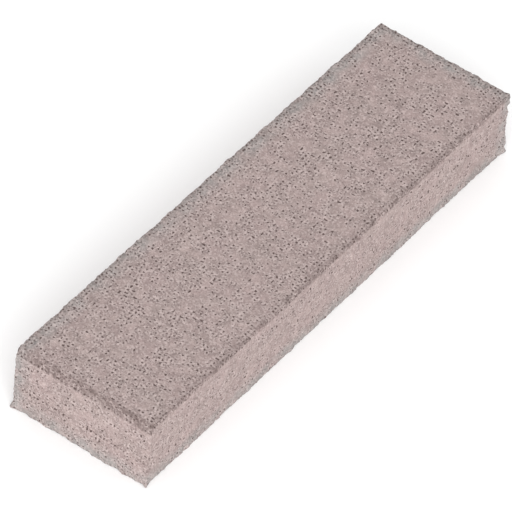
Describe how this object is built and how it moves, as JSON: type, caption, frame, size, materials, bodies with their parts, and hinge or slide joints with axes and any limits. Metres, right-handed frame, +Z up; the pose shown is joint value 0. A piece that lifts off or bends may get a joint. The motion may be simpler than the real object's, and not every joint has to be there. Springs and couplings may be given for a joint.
{
  "type": "sharpening whetstone",
  "caption": "Rectangular bar of coarse bonded abrasive with flat honing faces, worn arrises and a score line across each end, for sharpening carving knives and chisels.",
  "frame": {"origin": "middle of the resting face", "axes": "+X runs along the bar, +Y across it, +Z up out of the honing face"},
  "size_m": [0.15, 0.04, 0.02],
  "materials": {
    "bonded_grit": "coarse open-pored fired abrasive, matte, pinkish grey with dark pits"
  },
  "bodies": {
    "root": {"abrasive_bar": "bonded_grit"}
  },
  "joints": []
}
